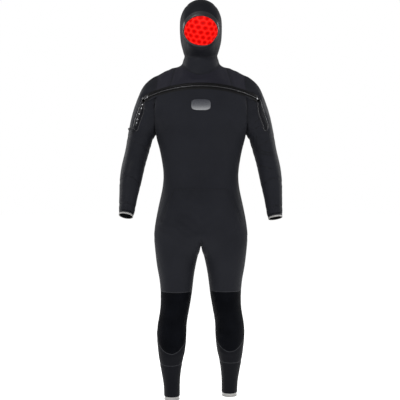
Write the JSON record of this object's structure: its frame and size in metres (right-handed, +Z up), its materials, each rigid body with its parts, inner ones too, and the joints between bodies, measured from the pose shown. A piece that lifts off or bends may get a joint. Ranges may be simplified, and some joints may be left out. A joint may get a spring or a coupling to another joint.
{
  "type": "hooded full wetsuit",
  "caption": "Full-length hooded semi-dry wetsuit of neoprene panels with a horizontal chest zip, red honeycomb hood lining, knee pads and grey wrist and ankle seals.",
  "frame": {"origin": "base of the wearer's neck, midway between the shoulders", "axes": "+Z up along the body, +X towards the wearer's left, front of the suit faces -Y"},
  "size_m": [0.706, 0.2735, 1.7506],
  "materials": {
    "neoprene": "fine-knit nylon face bonded to neoprene, matte with a soft sheen",
    "smooth_rubber": "smooth glossy black rubber",
    "zip_teeth": "glossy black moulded teeth",
    "knee_rubber": "matte abrasion-resistant print",
    "seal": "light grey smooth-lined neoprene",
    "liner": "bright red honeycomb-textured plush lining",
    "metal": "satin stainless steel",
    "badge": "plain grey moulded plate"
  },
  "bodies": {
    "torso": {"neck_collar": "neoprene", "chest_panel": "neoprene", "abdomen_panel": "neoprene", "back_panel": "neoprene", "seat_panel": "neoprene", "crotch_gusset": "neoprene", "yoke_front": "neoprene", "yoke_back": "neoprene", "zip_flap": "neoprene", "zip_under_flap": "neoprene", "side_panel_left": "neoprene", "side_panel_right": "neoprene", "shoulder_panel_left": "neoprene", "shoulder_panel_right": "neoprene", "upper_sleeve_left": "neoprene", "upper_sleeve_right": "neoprene", "elbow_panel_left": "neoprene", "elbow_panel_right": "neoprene", "thigh_front_left": "neoprene", "thigh_front_right": "neoprene", "thigh_back_left": "neoprene", "thigh_back_right": "neoprene", "knee_back_left": "neoprene", "knee_back_right": "neoprene", "zip_tape_upper": "smooth_rubber", "zip_tape_lower": "smooth_rubber", "zip_pull_leash": "smooth_rubber", "zip_pull_toggle": "smooth_rubber", "zip_garage_left": "smooth_rubber", "zip_garage_right": "smooth_rubber", "zip_chain": "zip_teeth", "knee_pad_left": "knee_rubber", "knee_pad_right": "knee_rubber", "zip_end_stop_left": "metal", "zip_end_stop_right": "metal", "chest_badge": "badge"},
    "hood": {"hood_crown_panel": "neoprene", "hood_side_panel_left": "neoprene", "hood_side_panel_right": "neoprene", "hood_chin_panel": "neoprene", "hood_face_seal": "smooth_rubber", "hood_liner": "liner", "hood_air_vent": "seal"},
    "zip_slider": {"zip_slider": "metal"},
    "zip_pull": {"zip_pull_tab": "metal"},
    "forearm_left": {"forearm_panel_left": "neoprene", "wrist_cuff_left": "neoprene", "wrist_seal_left": "seal"},
    "shin_left": {"shin_panel_left": "neoprene", "calf_panel_left": "neoprene", "ankle_cuff_left": "neoprene", "ankle_seal_left": "seal"},
    "forearm_right": {"forearm_panel_right": "neoprene", "wrist_cuff_right": "neoprene", "wrist_seal_right": "seal"},
    "shin_right": {"shin_panel_right": "neoprene", "calf_panel_right": "neoprene", "ankle_cuff_right": "neoprene", "ankle_seal_right": "seal"}
  },
  "joints": [
    {"name": "hood_tilt", "type": "hinge", "parent": "torso", "child": "hood", "pos_m": [0, 0.004, 0.02], "axis": [1, 0, 0], "range_deg": [-15, 20], "stiffness_Nm_per_rad": 12, "deforming": ["neck_collar"]},
    {"name": "elbow_left", "type": "hinge", "parent": "torso", "child": "forearm_left", "pos_m": [0.2905, 0.004, -0.4], "axis": [-0.9753, 0, -0.2209], "range_deg": [-15, 90], "stiffness_Nm_per_rad": 3, "deforming": ["elbow_panel_left"]},
    {"name": "elbow_right", "type": "hinge", "parent": "torso", "child": "forearm_right", "pos_m": [-0.2905, 0.004, -0.4], "axis": [-0.9753, 0, 0.2209], "range_deg": [-15, 90], "stiffness_Nm_per_rad": 3, "deforming": ["elbow_panel_right"]},
    {"name": "knee_left", "type": "hinge", "parent": "torso", "child": "shin_left", "pos_m": [0.1125, 0.0108, -1.03], "axis": [1, 0, 0], "range_deg": [0, 80], "stiffness_Nm_per_rad": 6, "deforming": ["knee_pad_left", "knee_back_left"]},
    {"name": "knee_right", "type": "hinge", "parent": "torso", "child": "shin_right", "pos_m": [-0.1125, -0.0153, -1.03], "axis": [1, 0, 0], "range_deg": [0, 80], "stiffness_Nm_per_rad": 6, "deforming": ["knee_pad_right", "knee_back_right"]},
    {"name": "zip_slide", "type": "hinge", "parent": "torso", "child": "zip_slider", "pos_m": [0, 0.17438, -0.28659], "axis": [0, 0.5547, 0.8321], "range_deg": [0, 78.5]},
    {"name": "zip_pull_flip", "type": "hinge", "parent": "zip_slider", "child": "zip_pull", "pos_m": [-0.23562, -0.06527, -0.12682], "axis": [0, 0.5547, 0.8321], "range_deg": [0, 150]}
  ]
}
